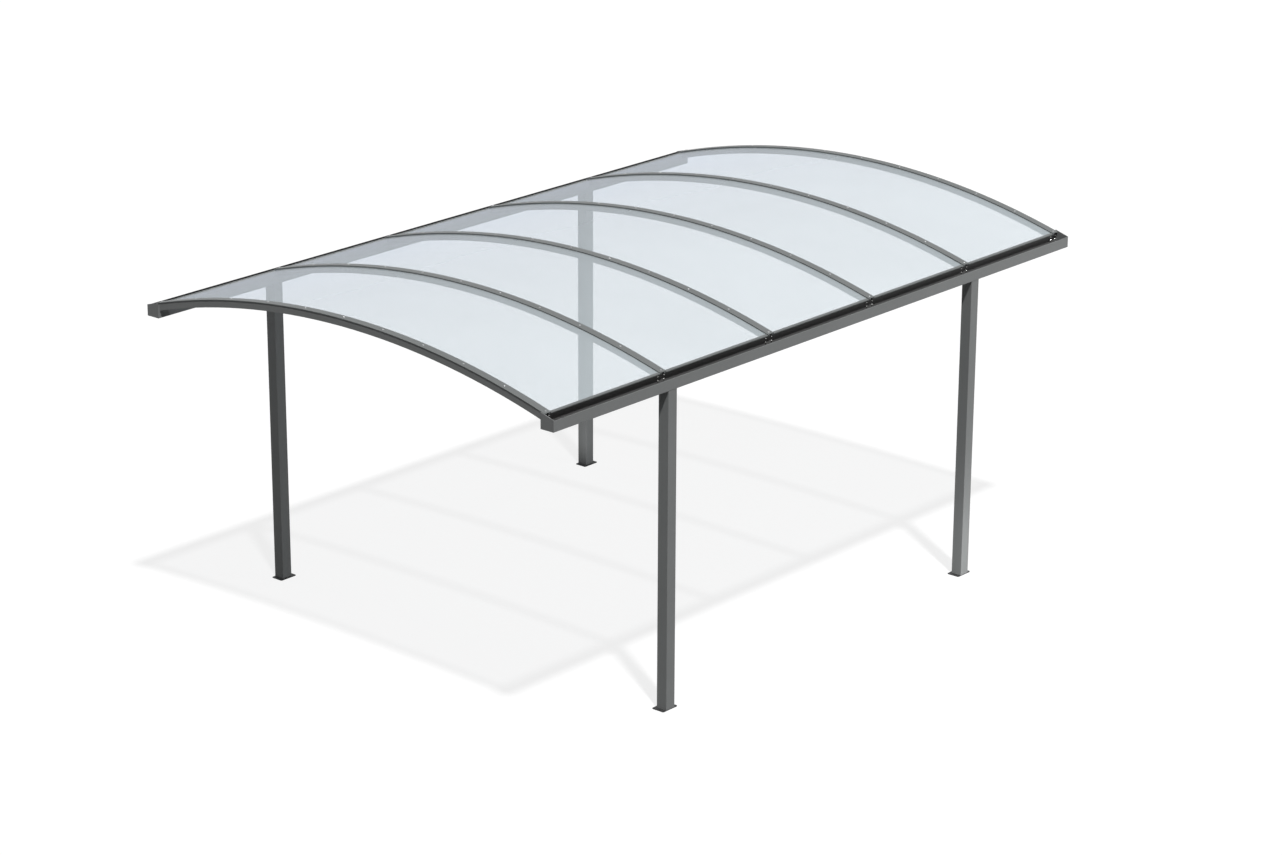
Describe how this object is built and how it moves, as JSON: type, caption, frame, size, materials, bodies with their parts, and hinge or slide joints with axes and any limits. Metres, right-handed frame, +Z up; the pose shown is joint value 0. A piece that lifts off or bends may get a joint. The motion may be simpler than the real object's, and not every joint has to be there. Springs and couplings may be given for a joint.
{
  "type": "carport",
  "caption": "Free-standing carport with square posts, gutter beams at the eaves, curved roof arches and clear arched sheets held down by clamp strips.",
  "frame": {"origin": "centre of the footprint on the floor", "axes": "+X across the width to the right when facing the rear from the drive-in end, +Y along the length to the rear, +Z up"},
  "size_m": [3.34, 5, 2.3148],
  "materials": {
    "foot_coat": "satin powder coat",
    "post_coat": "satin powder coat",
    "gutter_coat": "satin powder coat, dark inside",
    "cap_coat": "satin powder coat",
    "arch_coat": "satin powder coat",
    "strip_coat": "satin powder coat",
    "trim_coat": "satin powder coat",
    "gasket_rubber": "matt black rubber",
    "clear_sheet": "clear, faintly milky sheet"
  },
  "bodies": {
    "root": {"foot_plate_front_left": "foot_coat", "post_front_left": "post_coat", "end_cap_front_left": "cap_coat", "foot_plate_front_right": "foot_coat", "post_front_right": "post_coat", "end_cap_front_right": "cap_coat", "foot_plate_rear_left": "foot_coat", "post_rear_left": "post_coat", "end_cap_rear_left": "cap_coat", "foot_plate_rear_right": "foot_coat", "post_rear_right": "post_coat", "end_cap_rear_right": "cap_coat", "gutter_left": "gutter_coat", "eave_gasket_left": "gasket_rubber", "gutter_right": "gutter_coat", "eave_gasket_right": "gasket_rubber", "edge_bead_front": "arch_coat", "edge_bead_rear": "arch_coat", "arch_1": "arch_coat", "arch_gasket_1": "gasket_rubber", "clamp_strip_1": "strip_coat", "arch_2": "arch_coat", "arch_gasket_2": "gasket_rubber", "clamp_strip_2": "strip_coat", "arch_3": "arch_coat", "arch_gasket_3": "gasket_rubber", "clamp_strip_3": "strip_coat", "arch_4": "arch_coat", "arch_gasket_4": "gasket_rubber", "clamp_strip_4": "strip_coat", "arch_5": "arch_coat", "arch_gasket_5": "gasket_rubber", "clamp_strip_5": "strip_coat", "arch_6": "arch_coat", "arch_gasket_6": "gasket_rubber", "clamp_strip_6": "strip_coat", "roof_sheet_1": "clear_sheet", "eave_trim_1_left": "trim_coat", "eave_trim_1_right": "trim_coat", "roof_sheet_2": "clear_sheet", "eave_trim_2_left": "trim_coat", "eave_trim_2_right": "trim_coat", "roof_sheet_3": "clear_sheet", "eave_trim_3_left": "trim_coat", "eave_trim_3_right": "trim_coat", "roof_sheet_4": "clear_sheet", "eave_trim_4_left": "trim_coat", "eave_trim_4_right": "trim_coat", "roof_sheet_5": "clear_sheet", "eave_trim_5_left": "trim_coat", "eave_trim_5_right": "trim_coat"}
  },
  "joints": []
}
